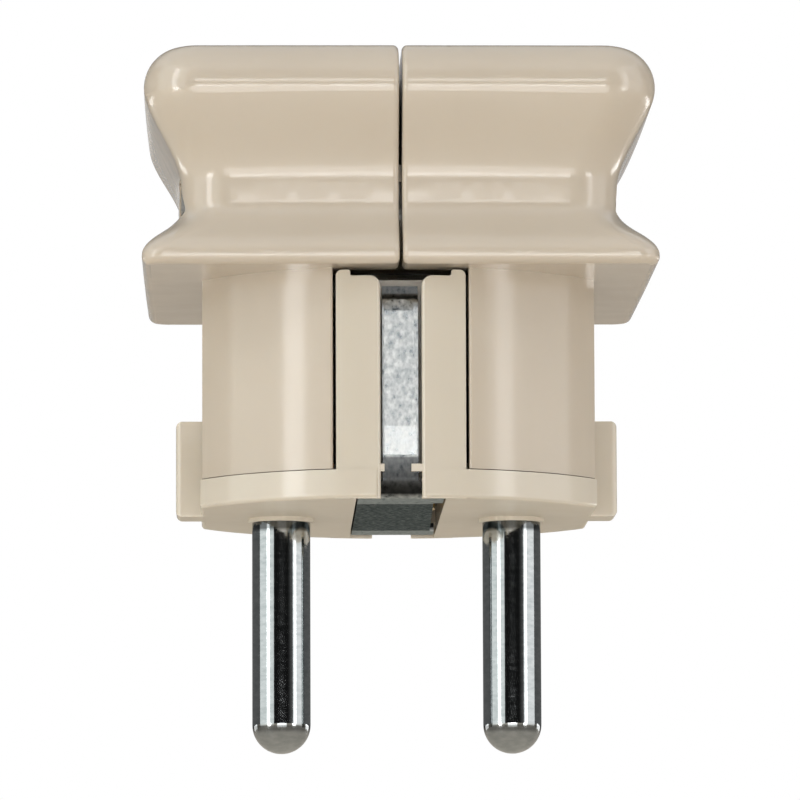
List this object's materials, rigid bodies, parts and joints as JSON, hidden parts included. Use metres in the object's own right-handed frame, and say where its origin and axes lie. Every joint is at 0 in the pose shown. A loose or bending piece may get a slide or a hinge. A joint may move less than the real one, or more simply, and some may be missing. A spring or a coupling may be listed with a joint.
{
  "type": "type f plug",
  "caption": "Rewirable type f mains plug with two round pins, side earth contacts and a square spool-shaped finger grip.",
  "frame": {"origin": "on the engagement face, midway between the two pins", "axes": "+Z away from the socket, X through both pins, -Y the front that the picture shows, +Y the cord inlet"},
  "size_m": [0.0416, 0.0424, 0.056],
  "materials": {
    "housing_ivory": "glossy moulded ivory plastic",
    "carrier_ivory": "glossy moulded ivory plastic, slightly lighter",
    "pin_nickel": "bright nickel over turned brass",
    "earth_steel": "nickel-plated folded strip",
    "screw_steel": "zinc-plated steel",
    "terminal_brass": "plain brass",
    "clamp_plastic": "matt moulded plastic",
    "bush_rubber": "soft ivory bush"
  },
  "bodies": {
    "root": {"left_housing_half": "housing_ivory", "right_housing_half": "housing_ivory", "contact_carrier": "carrier_ivory", "left_pin": "pin_nickel", "right_pin": "pin_nickel", "earth_stirrup": "earth_steel", "left_terminal_screw": "screw_steel", "right_terminal_screw": "screw_steel", "left_clamp_washer": "terminal_brass", "right_clamp_washer": "terminal_brass", "earth_terminal_post": "terminal_brass", "earth_terminal_screw": "screw_steel", "earth_clamp_washer": "terminal_brass", "cord_clamp": "clamp_plastic", "cord_clamp_screw_left": "screw_steel", "cord_clamp_screw_right": "screw_steel", "front_housing_screw": "screw_steel", "rear_housing_screw": "screw_steel", "front_housing_nut": "screw_steel", "rear_housing_nut": "screw_steel", "cable_bush": "bush_rubber"}
  },
  "joints": []
}
